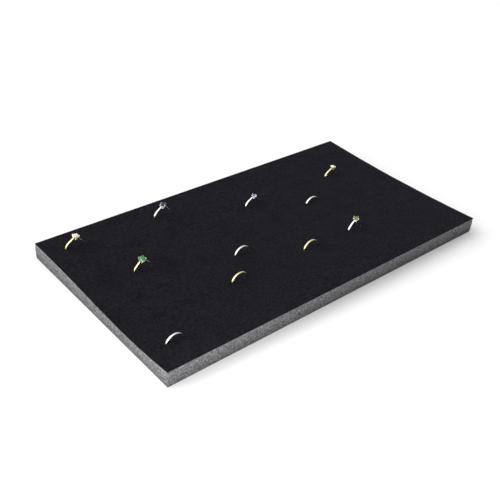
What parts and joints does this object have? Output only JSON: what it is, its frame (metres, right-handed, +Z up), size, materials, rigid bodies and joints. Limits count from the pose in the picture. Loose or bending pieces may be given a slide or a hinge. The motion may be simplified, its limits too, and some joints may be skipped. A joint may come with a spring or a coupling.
{
  "type": "jewelry tray",
  "caption": "Flat foam ring tray with a black flocked top and a grid of slits that grip upright finger rings, shown with lift-out rings standing in some slits.",
  "frame": {"origin": "middle of the pad's underside, the face it lies on", "axes": "+X along the long side to the right, +Y to the back, +Z up out of the flocked face, the way rings lift"},
  "size_m": [0.3588, 0.1938, 0.0281],
  "materials": {
    "grey_foam": "matte",
    "black_flock": "matte",
    "polished_silver": "polished",
    "polished_gold": "polished",
    "clear": "polished",
    "amethyst": "polished",
    "topaz": "polished",
    "citrine": "polished",
    "emerald": "polished",
    "peridot": "polished"
  },
  "bodies": {
    "pad": {"foam_core": "grey_foam", "flocked_top": "black_flock"},
    "silver_band_front": {"silver_band_front": "polished_silver"},
    "silver_band_middle": {"silver_band_middle": "polished_silver"},
    "silver_band_back": {"silver_band_back": "polished_silver"},
    "gold_band_left": {"gold_band_left": "polished_gold"},
    "gold_band_right": {"gold_band_right": "polished_gold"},
    "clear_ring": {"clear_ring_shank": "polished_gold", "clear_ring_setting": "polished_gold", "clear_ring_stone": "clear"},
    "amethyst_ring": {"amethyst_ring_shank": "polished_silver", "amethyst_ring_setting": "polished_silver", "amethyst_ring_stone": "amethyst"},
    "topaz_ring": {"topaz_ring_shank": "polished_silver", "topaz_ring_setting": "polished_silver", "topaz_ring_stone": "topaz"},
    "citrine_ring": {"citrine_ring_shank": "polished_gold", "citrine_ring_setting": "polished_gold", "citrine_ring_stone": "citrine"},
    "emerald_ring": {"emerald_ring_shank": "polished_gold", "emerald_ring_setting": "polished_gold", "emerald_ring_stone": "emerald"},
    "peridot_ring": {"peridot_ring_shank": "polished_silver", "peridot_ring_setting": "polished_silver", "peridot_ring_stone": "peridot"}
  },
  "joints": [
    {"name": "silver_band_front_lift", "type": "slide", "parent": "pad", "child": "silver_band_front", "axis": [0, 0, 1], "range_m": [0, 0.025]},
    {"name": "silver_band_middle_lift", "type": "slide", "parent": "pad", "child": "silver_band_middle", "axis": [0, 0, 1], "range_m": [0, 0.025]},
    {"name": "silver_band_back_lift", "type": "slide", "parent": "pad", "child": "silver_band_back", "axis": [0, 0, 1], "range_m": [0, 0.025]},
    {"name": "gold_band_left_lift", "type": "slide", "parent": "pad", "child": "gold_band_left", "axis": [0, 0, 1], "range_m": [0, 0.025]},
    {"name": "gold_band_right_lift", "type": "slide", "parent": "pad", "child": "gold_band_right", "axis": [0, 0, 1], "range_m": [0, 0.025]},
    {"name": "clear_ring_lift", "type": "slide", "parent": "pad", "child": "clear_ring", "axis": [0, 0, 1], "range_m": [0, 0.025]},
    {"name": "amethyst_ring_lift", "type": "slide", "parent": "pad", "child": "amethyst_ring", "axis": [0, 0, 1], "range_m": [0, 0.025]},
    {"name": "topaz_ring_lift", "type": "slide", "parent": "pad", "child": "topaz_ring", "axis": [0, 0, 1], "range_m": [0, 0.025]},
    {"name": "citrine_ring_lift", "type": "slide", "parent": "pad", "child": "citrine_ring", "axis": [0, 0, 1], "range_m": [0, 0.025]},
    {"name": "emerald_ring_lift", "type": "slide", "parent": "pad", "child": "emerald_ring", "axis": [0, 0, 1], "range_m": [0, 0.025]},
    {"name": "peridot_ring_lift", "type": "slide", "parent": "pad", "child": "peridot_ring", "axis": [0, 0, 1], "range_m": [0, 0.025]}
  ]
}
